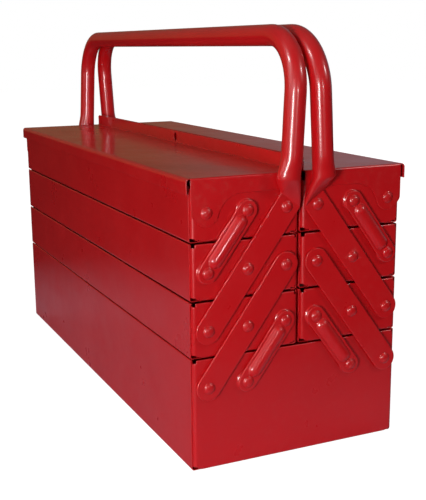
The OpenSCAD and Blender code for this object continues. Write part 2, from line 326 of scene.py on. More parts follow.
# ---- enamel ------------------------------------------------------------------------------------

MIX_FIRST, MIX_SECOND, MIX_RESULT = 6, 7, 2    # a Mix node's colour sockets


class Graph:
    """A node tree, with the few joins that the enamel, the floor and the room are made of"""

    def __init__(self, owner):
        owner.use_nodes = True
        self.nodes, self.links = owner.node_tree.nodes, owner.node_tree.links

    def feed(self, socket, value):
        """Joins a socket to another node's output, or sets it to a plain value"""
        if isinstance(value, bpy.types.NodeSocket):
            self.links.new(value, socket)
        else:
            socket.default_value = value

    def source(self, kind, output):
        """An output of a node that needs no input"""
        return self.nodes.new(kind).outputs[output]

    def mixed(self, factor, first, second):
        """A blend of two colours"""
        mix = self.nodes.new("ShaderNodeMix")
        mix.data_type = "RGBA"
        self.feed(mix.inputs["Factor"], factor)
        self.feed(mix.inputs[MIX_FIRST], first)
        self.feed(mix.inputs[MIX_SECOND], second)
        return mix.outputs[MIX_RESULT]

    def product(self, first, second):
        times = self.nodes.new("ShaderNodeMath")
        times.operation = "MULTIPLY"
        self.feed(times.inputs[0], first)
        self.feed(times.inputs[1], second)
        return times.outputs["Value"]

    def spread(self, value, low, high, to_low=0.0, to_high=1.0):
        """A value stretched from one range to another, and held inside it"""
        ramp = self.nodes.new("ShaderNodeMapRange")
        limits = {"Value": value, "From Min": low, "From Max": high, "To Min": to_low, "To Max": to_high}
        for name, limit in limits.items():
            self.feed(ramp.inputs[name], limit)
        return ramp.outputs["Result"]

    def noise(self, where, scale, detail, rough):
        texture = self.nodes.new("ShaderNodeTexNoise")
        settings = {"Vector": where, "Scale": scale, "Detail": detail, "Roughness": rough}
        for name, setting in settings.items():
            self.feed(texture.inputs[name], setting)
        return texture.outputs["Fac"]

    def bump(self, height, strength, distance, under=None):
        """Normals tilted by a height in metres, over other normals if there are any"""
        tilt = self.nodes.new("ShaderNodeBump")
        self.feed(tilt.inputs["Height"], height)
        self.feed(tilt.inputs["Strength"], strength)
        self.feed(tilt.inputs["Distance"], distance)
        if under:
            self.feed(tilt.inputs["Normal"], under)
        return tilt.outputs["Normal"]


def opaque(colour):
    return tuple(colour) + (1.0,)


DUST = (0.50, 0.24, 0.19)
# pale red of the lighter edges: part rubbed wear, part painted highlight
RUBBED_AND_HIGHLIGHT = (0.80, 0.22, 0.20)
RED = (0.66, 0.005, 0.009)
BRIGHT_RED = (0.68, 0.006, 0.010)
DEEPER = 0.78              # how much darker the deepest patches of a colour are
COAT = 0.55
WAVE_DEPTH = 0.0009        # metres


def enamel(name, colour, worn_and_highlight, dusty, peel_depth, gloss=0.07, grain=1.0):
    """Sprayed enamel under a clear gloss: orange peel, slow waves, fine dust, and lighter edges that are
    part rubbed wear and part painted highlight.

    The share given after colour is the greatest share of those lighter edges; dusty is the greatest
    share of dust; peel_depth is in metres; gloss is the roughness of the clear coat; grain makes every
    pattern finer.
    """
    material = bpy.data.materials.new(name)
    graph = Graph(material)
    shader = graph.nodes["Principled BSDF"]
    where = graph.source("ShaderNodeTexCoord", "Object")

    def noise(scale, detail=2.0, rough=0.5):
        return graph.noise(where, scale * grain, detail, rough)

    clouds = graph.spread(noise(9.0, 3.0), 0.35, 0.7, 0.0, 0.35)
    shade = graph.mixed(clouds, opaque(colour), opaque(DEEPER * c for c in colour))
    specks = graph.spread(noise(160.0, 5.0, 0.7), 0.50, 0.80, 0.0, dusty)
    patches = graph.spread(noise(7.0), 0.35, 0.65, 0.25, 1.0)
    shade = graph.mixed(graph.product(specks, patches), shade, opaque(DUST))
    # Painted highlight in part: convex edges found by Pointiness are lightened towards a pale red, which
    # also stands for rubbed wear
    edges = graph.spread(graph.source("ShaderNodeNewGeometry", "Pointiness"), 0.53, 0.60, 0.0, worn_and_highlight)
    stretches = graph.spread(noise(35.0, 4.0), 0.42, 0.62)
    shade = graph.mixed(graph.product(edges, stretches), shade, opaque(RUBBED_AND_HIGHLIGHT))
    graph.feed(shader.inputs["Base Color"], shade)

    under_coat = graph.spread(noise(24.0, 4.0, 0.6), 0.3, 0.75, 0.26, 0.42)
    graph.feed(shader.inputs["Roughness"], under_coat)
    graph.feed(shader.inputs["Coat Weight"], COAT)
    haze = graph.spread(noise(90.0, 4.0, 0.7), 0.35, 0.75, gloss, 2.2 * gloss)
    graph.feed(shader.inputs["Coat Roughness"], haze)

    wave = graph.bump(noise(14.0, 1.0), 0.5, WAVE_DEPTH)
    graph.feed(shader.inputs["Normal"], graph.bump(noise(420.0), 0.35, peel_depth, wave))
    graph.feed(shader.inputs["Coat Normal"], graph.bump(noise(230.0, 1.0), 0.25, peel_depth, wave))
    return material


MATERIALS = {
    "panel_enamel": enamel("panel_enamel", RED, 0.20, 0.05, 0.00008),
    "lid_enamel": enamel("lid_enamel", RED, 0.25, 0.13, 0.00020, gloss=0.09),
    "link_enamel": enamel("link_enamel", BRIGHT_RED, 0.35, 0.06, 0.00012, grain=1.3),
    "handle_enamel": enamel("handle_enamel", BRIGHT_RED, 0.25, 0.06, 0.00014, gloss=0.10, grain=1.2),
    "rivet_enamel": enamel("rivet_enamel", RED, 0.20, 0.05, 0.00010, gloss=0.05, grain=1.6),
}


# ---- pans --------------------------------------------------------------------------------------

PAN_L = BODY_L - 2 * CORNER_BEND - 2 * FIT_GAP
BEAD_MIDDLE_R = 0.9        # middle of the sheet rolled outwards round an upper tray's outer rim


def pan_fold(level):
    """Cross-section of a pan in (y, z), from its left rim to its right rim"""
    width, height = level_w(level), level_h(level)
    hem_r = (HEM_T - SHEET) / 2
    bend_r = FLOOR_BEND - SHEET / 2
    wall = height - HEM_T / 2 - FLOOR_BEND
    hem = HEM_H - HEM_T / 2
    left = -width / 2 + SHEET / 2
    if level == UPPER:
        start = (left - BEAD_MIDDLE_R, height - 2 * BEAD_MIDDLE_R - SHEET / 2)
        rim = [("turn", BEAD_MIDDLE_R, -270)]
        first_wall = height - BEAD_MIDDLE_R - SHEET / 2 - FLOOR_BEND
        heading = 180
    else:
        start = (left + 2 * hem_r, height - HEM_H)
        rim = [("go", hem), ("turn", hem_r, 180)]
        first_wall = wall
        heading = 90
    steps = rim + [
        ("go", first_wall), ("turn", bend_r, 90), ("go", width - 2 * FLOOR_BEND),
        ("turn", bend_r, 90), ("go", wall), ("turn", hem_r, 180), ("go", hem)]
    return Fold(start, heading, steps)


def pan(level):
    fold = pan_fold(level)
    sheet = Sheet()
    sheet.grid(spaced(fold.stops, 12), spaced([-PAN_L / 2, PAN_L / 2], 20), lambda a, b: True)

    def place(a, b):
        (y, z), (out_y, out_z) = fold.at(a)
        return (np.array([b, y + level_y(level), z + floor_z(level)]),
                np.array([np.zeros_like(b), out_y, out_z]))

    return thicken(sheet, place)


# ---- end panels --------------------------------------------------------------------------------

RISE = SHEET + FIT_GAP     # how far an end panel sits inside its pan's floor and walls
LAP = 9.0                  # how far its flanges reach along the walls and the floor
NOTCH = HEM_H + 0.5        # from its rim down to the side flanges
CORNER_DROP = 2.6          # and down to the top of its upright bends
FOOT_R = 1.2               # middle of the bend at its foot
FOOT = FOOT_R + SHEET / 2
SIDE_FOOT = FLOOR_BEND - SHEET + FOOT          # height at which the side flanges begin
CELL = 6.0                 # greatest size of a quad away from the rivets
BLOCK_CELLS = 10           # quads along each side of the square round a rivet
FLANGE_SHORT = 2 * (2 * BLOCK / BLOCK_CELLS)   # how far the floor flange stops short of the corners
BOSS_RINGS = [BOSS_R, 8.5, 8.1, 7.7, 7.3, 6.8, 5.5, 4.0, HOLE_R]


def panel_rivets(level):
    """(y, z, has a boss) of every rivet on an end panel"""
    places = (OUTER, CENTRE) if level == BASE else (OUTER, CENTRE, INNER)
    found = [(rivet_y(p), rivet_z(level), level != UPPER or p != OUTER) for p in places]
    if level == BASE:
        found += [(-y, z, boss) for y, z, boss in found]
    return sorted(found)


class EndPanel:
    """A flat face whose flanges turn back along the pan's walls and over its floor.

    It is laid out flat, a across and b up from the middle of its foot. The plan folds it across
    and the profile folds it up.
    """

    def __init__(self, level):
        width, self.height = level_w(level) - 2 * RISE, level_h(level) - RISE
        self.flat = width / 2 - CORNER_BEND
        bend_r = CORNER_BEND - SHEET / 2
        self.bend = bend_r * math.pi / 2
        side = LAP - CORNER_BEND
        self.plan = Fold((BODY_L / 2 - LAP, SHEET / 2 - width / 2), 0,
                         [("go", side), ("turn", bend_r, 90), ("go", 2 * self.flat),
                          ("turn", bend_r, 90), ("go", side)], zero=side + self.bend + self.flat)
        hem_r = (HEM_T - SHEET) / 2
        floor_flange = LAP - FOOT
        self.profile = Fold((BODY_L / 2 - LAP, SHEET / 2), 0,
                            [("go", floor_flange), ("turn", FOOT_R, 90),
                             ("go", self.height - HEM_T / 2 - FOOT),
                             ("turn", hem_r, 180), ("go", HEM_H - HEM_T / 2)],
                            zero=floor_flange + FOOT_R * math.pi / 2 - FOOT)
        self.middle = (level_y(level), floor_z(level) + RISE)
        self.rivets = [(y - self.middle[0], z - self.middle[1], boss)
                       for y, z, boss in panel_rivets(level)]

    def keeps(self, a, b):
        """Whether a cell of the layout's grid is sheet, and not a rivet's block or cut away"""
        if any(abs(a - ra) < BLOCK and abs(b - rb) < BLOCK for ra, rb, _ in self.rivets):
            return False
        if b < FOOT:
            return abs(a) < self.flat - FLANGE_SHORT
        if abs(a) < self.flat:
            return True
        on_bend = abs(a) < self.flat + self.bend
        return SIDE_FOOT < b < self.height - (CORNER_DROP if on_bend else NOTCH)

    def layout(self):
        across = [a for a, _, _ in self.rivets]
        up = [self.rivets[0][1]]
        a_stops = merged(self.plan.stops, [a + k * BLOCK for a in across for k in (-1, 1)])
        b_stops = merged(self.profile.stops, [b + k * BLOCK for b in up for k in (-1, 1)],
                         [SIDE_FOOT, self.height - NOTCH, self.height - CORNER_DROP])
        sheet = Sheet()
        sheet.grid(divided(a_stops, across), divided(b_stops, up), self.keeps)
        for a, b, _ in self.rivets:
            sheet.rings(square_rim(a, b, BLOCK, BLOCK_CELLS), (a, b), BOSS_RINGS)
        return sheet

    def place(self, a, b):
        on_flat = np.abs(a) <= self.flat + 1e-6
        (x, z), (out_x, out_z) = self.profile.at(b)
        (side_x, side_y), (side_out_x, side_out_y) = self.plan.at(a)
        points = np.where(on_flat, [x, a, z], [side_x, side_y, b])
        normals = np.where(on_flat, [out_x, 0 * a, out_z], [side_out_x, side_out_y, 0 * a])
        for ra, rb, boss in self.rivets:
            if boss:
                radius = np.hypot(a - ra, b - rb)
                points[0] += BOSS_H * smooth((BOSS_R - radius) / (BOSS_R - BOSS_TOP_R)) * on_flat
        points[1] += self.middle[0]
        points[2] += self.middle[1]
        return points, normals


def divided(stops, centres):
    """Grid lines through every stop: fine across the rivets' blocks and coarse between them"""
    lines = []
    for low, high in zip(stops, stops[1:]):
        block = any(low >= c - BLOCK - 0.01 and high <= c + BLOCK + 0.01 for c in centres)
        count = BLOCK_CELLS if block else max(1, round((high - low) / CELL))
        lines += [low + (high - low) * i / count for i in range(count)]
    return lines + [stops[-1]]


def end_panel(level):
    panel = EndPanel(level)
    return thicken(panel.layout(), panel.place)


# ---- links -------------------------------------------------------------------------------------

LINK_EDGE = 0.6
RIB_W = 10.6
RIB_H = 3.4
RIB_R = (RIB_W ** 2 / 4 + RIB_H ** 2) / (2 * RIB_H)    # radius of the rib's round back
RIB_INSET = 11.0           # from a pivot to where the rib's back starts to round off
RIB_FOOT = 0.6             # how softly the rib rises out of the strip


def end_rim(b, half, cells, direction):
    """Points round a strip's end: square towards the middle of the strip, half round at its tip"""
    up = [(half, half * 2 * i / cells) for i in range(cells // 2)]
    up += [(half - 2 * half * i / cells, half) for i in range(cells)]
    up += [(-half, half - half * 2 * i / cells) for i in range(cells // 2)]
    tip = [(half * math.cos(t), half * math.sin(t))
           for t in (math.pi * (1 + i / (2 * cells)) for i in range(2 * cells))]
    return [(direction * x, b + direction * y) for x, y in up + tip]


def strip(width, length, pivots, cells, step):
    half = width / 2
    sheet = Sheet()
    radii = [r for r in (0.86 * half, 0.72 * half, 0.58 * half, 0.45 * half) if r > HOLE_R + 0.5]
    radii.append(HOLE_R)
    for b in pivots:
        if b in (0, length):
            rim = end_rim(b, half, cells, 1 if b == 0 else -1)
        else:
            rim = square_rim(0, b, half, cells)
        sheet.rings(rim, (0, b), radii)
    across = [half * (2 * i / cells - 1) for i in range(cells + 1)]
    for low, high in zip(pivots, pivots[1:]):
        sheet.grid(across, spaced([low + half, high - half], step), lambda a, b: True)
    return sheet


def on_link(level, place_of, x, a, b):
    """From a link's own across and along to the box"""
    y = rivet_y(place_of) + a * math.cos(LINK_ANGLE) + b * math.sin(LINK_ANGLE)
    z = rivet_z(level) - a * math.sin(LINK_ANGLE) + b * math.cos(LINK_ANGLE)
    return np.array([x, y, z])


def long_link():
    sheet = strip(LONG_W, 2 * LINK_STEP, (0, LINK_STEP, 2 * LINK_STEP), 12, 4)

    def place(a, b):
        x = np.full_like(a, LINK_X + LINK_T / 2)
        return on_link(BASE, OUTER, x, a, b), np.array([1 + 0 * a, 0 * a, 0 * a])

    return thicken(sheet, place, LINK_T, LINK_EDGE)


def rib_height(a, b):
    beyond = np.maximum(RIB_INSET - b, b - (LINK_STEP - RIB_INSET))
    away = np.hypot(a, np.maximum(beyond, 0))
    back = np.sqrt(np.maximum(RIB_R ** 2 - away ** 2, 0)) - (RIB_R - RIB_H)
    return 0.5 * (back + np.sqrt(back ** 2 + RIB_FOOT ** 2))


def short_link(level, place_of):
    sheet = strip(SHORT_W, LINK_STEP, (0, LINK_STEP), 24, 0.8)

    def place(a, b):
        tiny = 0.05
        rise = rib_height(a, b)
        slope_a = (rib_height(a + tiny, b) - rise) / tiny
        slope_b = (rib_height(a, b + tiny) - rise) / tiny
        points = on_link(level, place_of, LINK_X + LINK_T / 2 + rise, a, b)
        tip = on_link(level, place_of, 1 + 0 * a, -slope_a, -slope_b)
        root = on_link(level, place_of, 0 * a, 0 * a, 0 * a)
        normals = tip - root
        return points, normals / np.linalg.norm(normals, axis=0)

    return thicken(sheet, place, LINK_T, LINK_EDGE)


# ---- rivets ------------------------------------------------------------------------------------

RIVET_SEGMENTS = 36
HEAD_R = 4.8
HEAD_H = 2.2
COLLAR_H = 0.6             # the upright part of a head, under its dome
SOFTENED = 0.12            # rounding of the collar
SHANK_R = 2.5
CLOSED_R = 4.5
CLOSED_H = 1.4
DOME_STEPS = 7
TINY_R = 0.05
SEAT_GAP = 0.1

LINK_SEAT = LINK_X + LINK_T + SEAT_GAP
LID_PLATE_X = BODY_L / 2 + 0.15
LID_SEAT = LID_PLATE_X + SHEET + SEAT_GAP


def dome(x, radius, height):
    """Profile points (x, r) up a round head from its rim to its middle"""
    points = []
    for i in range(1, DOME_STEPS + 1):
        t = math.pi / 2 * i / DOME_STEPS
        points.append((x + height * math.sin(t), max(radius * math.cos(t), TINY_R)))
    return points


def rivet(y, z, inner_face, seat):
    """A rivet from its closed end behind a sheet's inner face to its head on the seat"""
    closed = inner_face - FIT_GAP - CLOSED_H
    collar = seat + COLLAR_H
    profile = [(closed, TINY_R), (closed, CLOSED_R - 0.8), (closed + 0.3, CLOSED_R - 0.2),
               (closed + 0.7, CLOSED_R), (closed + CLOSED_H, CLOSED_R - 0.1),
               (closed + CLOSED_H, SHANK_R), (seat, SHANK_R), (seat, HEAD_R - 0.1),
               (seat + SOFTENED, HEAD_R), (collar - 0.05 - SOFTENED, HEAD_R),
               (collar - 0.05, HEAD_R - 0.15), (collar, HEAD_R - 0.45)]
    profile += dome(collar, HEAD_R - 0.6, HEAD_H - COLLAR_H)
    turns = [2 * math.pi * i / RIVET_SEGMENTS for i in range(RIVET_SEGMENTS)]
    vertices = [(x, y + r * math.cos(t), z + r * math.sin(t)) for x, r in profile for t in turns]
    return vertices, skin(len(profile), RIVET_SEGMENTS)


def rivets(level):
    """The rivets at both ends of a level"""
    face = BODY_L / 2 - SHEET
    made = []
    for y, z, boss in panel_rivets(level):
        points, faces = rivet(y, z, face + (BOSS_H if boss else 0), LINK_SEAT if boss else LID_SEAT)
        made.append((points, faces))
        made.append(([(-x, y_, z_) for x, y_, z_ in points], faces))
    return made


# ---- lids --------------------------------------------------------------------------------------

LID_L = 2 * (LID_PLATE_X + SHEET)
LID_OUTER_Y = -98.4
LID_INNER_Y = -1.3
SKIRT_H = 12.0
GRIP_H = 11.5
GRIP_CORNER = 3.0
LID_BEND = 3.2
GRIP_BEND = 1.2            # middle of the bend between the plate and the grip flange
END_BEND = 1.2             # middle of the bend between the plate and an end flange
END_FLANGE_H = 13.5
FLANGE_Y = (-94.6, -3.6)   # outer and inner ends of an end flange
SLIT = 0.6                 # relief cut at both ends of its bend
PADLOCK_R = 4.0
PADLOCK_BLOCK = 4.75       # half the square of sheet that is laid out round the padlock hole
PADLOCK_CELLS = 8
EAR_R = 10.5
EAR_RINGS = [EAR_R * k for k in (0.94, 0.8, 0.64, 0.48, 0.36)] + [HOLE_R]
EAR_CELLS = 16
SWEEP_R = 22.0
SWEEP_SPLIT = math.radians(45)    # how far round the sweep the flange is laid out in columns
SWEEP_CELLS = 7
FLANGE_ROWS = 6

PLATE_Z = LID_TOP - SHEET / 2     # middle of the sheet
GRIP_Y = LID_INNER_Y - SHEET / 2
GRIP_TOP = LID_TOP + GRIP_H
GRIP_STRAIGHT = GRIP_TOP - PLATE_Z - GRIP_BEND
PLATE_FROM = GRIP_STRAIGHT + GRIP_BEND * math.pi / 2
BEND_FROM = LID_PLATE_X + SHEET / 2 - END_BEND
BEND_TO = BEND_FROM + END_BEND * math.pi / 2


def lid_a(y):
    """How far across the flat layout, from the grip flange's top, a place on the plate lies"""
    return PLATE_FROM + GRIP_Y - GRIP_BEND - y


def lid_b(z):
    """How far along the flat layout, from the lid's middle, a height on an end flange lies"""
    return BEND_TO + PLATE_Z - END_BEND - z


FLANGE_A = (lid_a(FLANGE_Y[1]), lid_a(FLANGE_Y[0]))
SLIT_A = (FLANGE_A[0] - SLIT, FLANGE_A[1] + SLIT)
PIVOT = (lid_a(rivet_y(OUTER)), lid_b(rivet_z(UPPER)))
FLANGE_TOP = BEND_TO + 1.0
FLANGE_EDGE = lid_b(LID_TOP - END_FLANGE_H)
SWEEP_B = FLANGE_EDGE + SWEEP_R
SWEEP_REACH = math.sqrt((EAR_R + SWEEP_R) ** 2 - (SWEEP_B - PIVOT[1]) ** 2)
SWEEP_A = PIVOT[0] - SWEEP_REACH


def on_sweep(turn):
    """A point on the sweep that carries an end flange's lower edge down into its pivot ear"""
    return (SWEEP_A + SWEEP_R * math.sin(turn), SWEEP_B - SWEEP_R * math.cos(turn))


SWEEP = [on_sweep(SWEEP_SPLIT * i / SWEEP_CELLS) for i in range(SWEEP_CELLS + 1)]
STRIP_A = spaced([FLANGE_A[0], SWEEP_A], 6)
EAR_A = spaced([SWEEP[-1][0], FLANGE_A[1]], 2.5)
COLUMN_A = STRIP_A + [a for a, _ in SWEEP[1:]] + EAR_A[1:]


def ear_rim():
    """Points round the part of an end flange that is laid out in rings about its pivot"""
    rim = [(a, FLANGE_TOP) for a in EAR_A[:-1]]
    rim += [(FLANGE_A[1], b) for b in spaced([FLANGE_TOP, PIVOT[1]], 3)[:-1]]
    ear_to = math.pi - math.atan2(SWEEP_B - PIVOT[1], SWEEP_REACH)
    beyond = FLANGE_A[1] - PIVOT[0] - EAR_R
    for i in range(EAR_CELLS):
        t = ear_to * i / EAR_CELLS
        reach = EAR_R + beyond * (1 - float(smooth(i / 4)))
        rim.append((PIVOT[0] + reach * math.cos(t), PIVOT[1] + reach * math.sin(t)))
    begin = math.atan2(SWEEP_REACH, SWEEP_B - PIVOT[1])
    rim += [on_sweep(begin + (SWEEP_SPLIT - begin) * i / SWEEP_CELLS) for i in range(SWEEP_CELLS)]
    a, b = SWEEP[-1]
    return rim + [(a, b + (FLANGE_TOP - b) * i / FLANGE_ROWS) for i in range(FLANGE_ROWS)]


def end_flange():
    """One end flange, laid out flat with its bend"""
    flange = Sheet()
    bend_b = [BEND_FROM + (BEND_TO - BEND_FROM) * i / 5 for i in range(6)]
    flange.grid(COLUMN_A, bend_b + [FLANGE_TOP], lambda a, b: True)
    lower = [(a, FLANGE_EDGE) for a in STRIP_A] + SWEEP[1:]
    for (a0, low0), (a1, low1) in zip(lower, lower[1:]):
        for i in range(FLANGE_ROWS):
            near, far = i / FLANGE_ROWS, (i + 1) / FLANGE_ROWS
            flange.quad((a0, FLANGE_TOP + (low0 - FLANGE_TOP) * near),
                        (a1, FLANGE_TOP + (low1 - FLANGE_TOP) * near),
                        (a1, FLANGE_TOP + (low1 - FLANGE_TOP) * far),
                        (a0, FLANGE_TOP + (low0 - FLANGE_TOP) * far))
    flange.rings(ear_rim(), PIVOT, EAR_RINGS)
    return flange


def lid_fold():
    """Cross-section of a lid in (y, z), from the top of its grip flange to its skirt's edge"""
    bend_r = LID_BEND - SHEET / 2
    outer = LID_OUTER_Y + SHEET / 2
    plate = GRIP_Y - GRIP_BEND - (outer + bend_r)
    return Fold((GRIP_Y, GRIP_TOP), -90,
                [("go", GRIP_STRAIGHT), ("turn", GRIP_BEND, -90), ("go", plate),
                 ("turn", bend_r, 90), ("go", SKIRT_H - LID_BEND)])


def lid_layout(fold):
    """A lid laid out flat: a from the grip flange's top to the skirt, b along its length"""
    hole_a = GRIP_H / 2
    hole_lines = [PADLOCK_BLOCK * (2 * i / PADLOCK_CELLS - 1) for i in range(PADLOCK_CELLS + 1)]
    a_lines = merged(fold.stops, [hole_a + h for h in hole_lines], [GRIP_CORNER / 8],
                     COLUMN_A, SLIT_A)
    half = spaced([PADLOCK_BLOCK, LID_L / 2 - GRIP_CORNER], 20) + [LID_L / 2 - 2.3, BEND_FROM]
    middle_b = [-b for b in reversed(half)] + hole_lines[1:-1] + half

    sheet = Sheet()
    sheet.grid(a_lines, middle_b,
               lambda a, b: abs(a - hole_a) > PADLOCK_BLOCK or abs(b) > PADLOCK_BLOCK)
    sheet.rings(square_rim(hole_a, 0, PADLOCK_BLOCK, PADLOCK_CELLS), (hole_a, 0),
                [PADLOCK_R + 0.35, PADLOCK_R])
    flange = end_flange()
    tail = [BEND_FROM, LID_L / 2 - 0.9, LID_L / 2 - 0.3, LID_L / 2]
    for end in (1, -1):
        for face in flange.faces:
            corners = [(flange.points[v][0], end * flange.points[v][1]) for v in face]
            sheet.quad(*(corners if end > 0 else reversed(corners)))
        tail_b = tail if end > 0 else [-b for b in reversed(tail)]
        sheet.grid(a_lines, tail_b, lambda a, b: a < SLIT_A[0] or a > SLIT_A[1])
    return sheet


def lid():
    fold = lid_fold()

    def place(a, b):
        size = np.abs(b)
        sign = np.sign(b)
        (y, z), (out_y, out_z) = fold.at(a)
        bent = (a > FLANGE_A[0] - SLIT / 2) & (a < FLANGE_A[1] + SLIT / 2) & (size > BEND_FROM)
        angle = np.clip((size - BEND_FROM) / END_BEND, 0, math.pi / 2)
        drop = np.where(bent, END_BEND * (1 - np.cos(angle)) + np.maximum(size - BEND_TO, 0), 0)
        x = np.where(bent, BEND_FROM + END_BEND * np.sin(angle), size)
        corner = (a < GRIP_CORNER) & (size > LID_L / 2 - GRIP_CORNER)
        p = np.clip(1 - a / GRIP_CORNER, 0, 1)
        q = np.clip((size - LID_L / 2 + GRIP_CORNER) / GRIP_CORNER, 0, 1)
        x = np.where(corner, LID_L / 2 - GRIP_CORNER * (1 - q * np.sqrt(1 - p * p / 2)), x)
        z = np.where(corner, GRIP_TOP - GRIP_CORNER * (1 - p * np.sqrt(1 - q * q / 2)), z)
        points = np.array([sign * x, y, z - drop])
        tilt = np.where(bent, angle, 0)
        normals = np.array([sign * np.sin(tilt), out_y * np.cos(tilt), out_z * np.cos(tilt)])
        return points, normals / np.linalg.norm(normals, axis=0)

    return thicken(lid_layout(fold), place)


# ---- handles -----------------------------------------------------------------------------------

QUARTER_POINTS = 12        # steps round each quarter of a tube
TUBE_R = 8.5
TUBE = (TUBE_R, TUBE_R)
BAR_Z = 339.0
BAR_Y = -8.9
TUBE_BEND = 42.0
BEND_CELLS = 22
LEG_LEAN = math.radians(3)
LEG_X = LINK_X + TUBE_R
LEG_FOOT_Z = 249.0         # where a leg starts to swell sideways
SWELL_L = 18.0             # from there down to where it is pressed flat
SWELL_ACROSS = 1.3         # how much wider it is there, each way
SWELL_SHIFT = 1.3          # how far it has moved away from the middle
SWELL_FLAT = 1.0           # how much thinner it is, each way
CREASE = 6.0               # from the upper rivet to where the flat arm starts to swell
ARM_L = 2 * LINK_STEP + CREASE
ARM_HALF = (LINK_T / 2, LONG_W / 2)
ARM_CORNER = 0.7           # rounding of a flat arm's edges
TIP_CELLS = 12
TIP_FROM = 4               # degrees round the tip that are left flat
PRESS_STEPS = (0, 0.04, 0.12, 0.25, 0.4, 0.55, 0.7, 0.82, 0.92, 1)
X_AXIS = np.array([1.0, 0.0, 0.0])


def leaning(angle):
    """Directions along and across something that leans by an angle in the end's plane"""
    return (np.array([0.0, math.sin(angle), math.cos(angle)]),
            np.array([0.0, math.cos(angle), -math.sin(angle)]))


ARM, ARM_ACROSS = leaning(LINK_ANGLE)
LEG, LEG_ACROSS = leaning(LEG_LEAN)
ARM_FOOT = np.array([LINK_X + LINK_T / 2, rivet_y(OUTER), rivet_z(LOWER)])
LEG_TOP = np.array([LEG_X, BAR_Y, BAR_Z])
LEG_L = (BAR_Z - LEG_FOOT_Z) / math.cos(LEG_LEAN)


def section(centre, out, across, half, corner):
    """A ring of points round an oblong with rounded corners, an oval when the corners fill it.

    Both half sizes and corner radii are given as (out, across).
    """
    ring = []
    for quarter, (sign_out, sign_across) in enumerate(((1, 1), (-1, 1), (-1, -1), (1, -1))):
        for i in range(QUARTER_POINTS + 1):
            t = math.pi / 2 * (quarter + i / QUARTER_POINTS)
            along_out = sign_out * (half[0] - corner[0]) + corner[0] * math.cos(t)
            along_across = sign_across * (half[1] - corner[1]) + corner[1] * math.sin(t)
            ring.append(centre + out * along_out + across * along_across)
    return ring


def arm_sections():
    """Rings from the round tip of a flat arm to where it starts to fold into the tube"""
    thin, half = ARM_HALF
    rings = []
    for i in range(TIP_CELLS):
        t = math.radians(TIP_FROM + (90 - TIP_FROM) * i / TIP_CELLS)
        width = half * math.sin(t)
        depth = thin * min(1.0, 0.55 + 0.45 * i / 2)
        round_off = min(ARM_CORNER, depth, width)
        rings.append(section(ARM_FOOT - ARM * half * math.cos(t), X_AXIS, ARM_ACROSS,
                             (depth, width), (round_off, round_off)))
    for b in spaced([0, ARM_L - 0.8], 8):
        rings.append(section(ARM_FOOT + ARM * b, X_AXIS, ARM_ACROSS,
                             ARM_HALF, (ARM_CORNER, ARM_CORNER)))
    return rings


def swollen(distance, amount):
    """A leg's centre and half sizes at a distance from the bar, swollen by an amount from 0 to 1"""
    centre = LEG_TOP - LEG * distance - X_AXIS * SWELL_FLAT * amount - LEG_ACROSS * SWELL_SHIFT * amount
    return centre, (TUBE_R - SWELL_FLAT * amount, TUBE_R + SWELL_ACROSS * amount)


def leg_sections():
    """Rings from the crease above the arm, where the tube is pressed flat, up to the bend"""
    start = ARM_FOOT + ARM * ARM_L
    finish, pressed = swollen(LEG_L + SWELL_L, 1.0)
    rings = []
    for f in PRESS_STEPS:
        across = leaning(LINK_ANGLE + (LEG_LEAN - LINK_ANGLE) * f)[1]
        half = [flat + (full - flat) * f for flat, full in zip(ARM_HALF, pressed)]
        corner = [ARM_CORNER + (full - ARM_CORNER) * f for full in pressed]
        rings.append(section(start + (finish - start) * f, X_AXIS, across, half, corner))
    for distance in spaced([LEG_L + SWELL_L, LEG_L], -2.5)[1:]:
        centre, half = swollen(distance, float(smooth((distance - LEG_L) / SWELL_L)))
        rings.append(section(centre, X_AXIS, LEG_ACROSS, half, half))
    for distance in spaced([LEG_L, TUBE_BEND], -6)[1:]:
        rings.append(section(LEG_TOP - LEG * distance, X_AXIS, LEG_ACROSS, TUBE, TUBE))
    return rings


def bar_sections():
    """Rings round the bend and along the bar to its middle"""
    hub = LEG_TOP - LEG * TUBE_BEND - X_AXIS * TUBE_BEND
    rings = []
    for i in range(1, BEND_CELLS + 1):
        t = math.pi / 2 * i / BEND_CELLS
        out = X_AXIS * math.cos(t) + LEG * math.sin(t)
        rings.append(section(hub + out * TUBE_BEND, out, LEG_ACROSS, TUBE, TUBE))
    for x in spaced([LEG_X - TUBE_BEND, 0], -14)[1:]:
        rings.append(section(np.array([x, BAR_Y, BAR_Z]), LEG, LEG_ACROSS, TUBE, TUBE))
    return rings


def handle():
    half = arm_sections() + leg_sections() + bar_sections()
    mirrored = [[point * np.array([-1, 1, 1]) for point in ring] for ring in reversed(half[:-1])]
    rings = half + mirrored
    return [tuple(point) for ring in rings for point in ring], skin(len(rings), len(half[0]))


def rod(centre, radius, length, count=32):
    """A closed rod along X"""
    turns = [2 * math.pi * i / count for i in range(count)]
    x, y, z = centre
    vertices = [(x + s * length / 2, y + radius * math.cos(t), z + radius * math.sin(t))
                for s in (-1, 1) for t in turns]
    return vertices, skin(2, count)


def drill(obj, holes):
    """Cuts closed solids out of an object for good"""
    cutter = mesh_object("cutter", holes)
    cutter.matrix_world = obj.matrix_world
    cut = obj.modifiers.new("cut", "BOOLEAN")
    cut.solver = "EXACT"
    cut.object = cutter
    obj.modifiers.move(len(obj.modifiers) - 1, 0)
    weigh = obj.modifiers["even_faces"]
    weigh.show_viewport = False
    graph = bpy.context.evaluated_depsgraph_get()
    solid = bpy.data.meshes.new_from_object(obj.evaluated_get(graph))
    obj.modifiers.remove(cut)
    obj.data = solid
    weigh.show_viewport = True
    bpy.data.objects.remove(cutter)
    solid.shade_smooth()


# ---- the toolbox -------------------------------------------------------------------------------

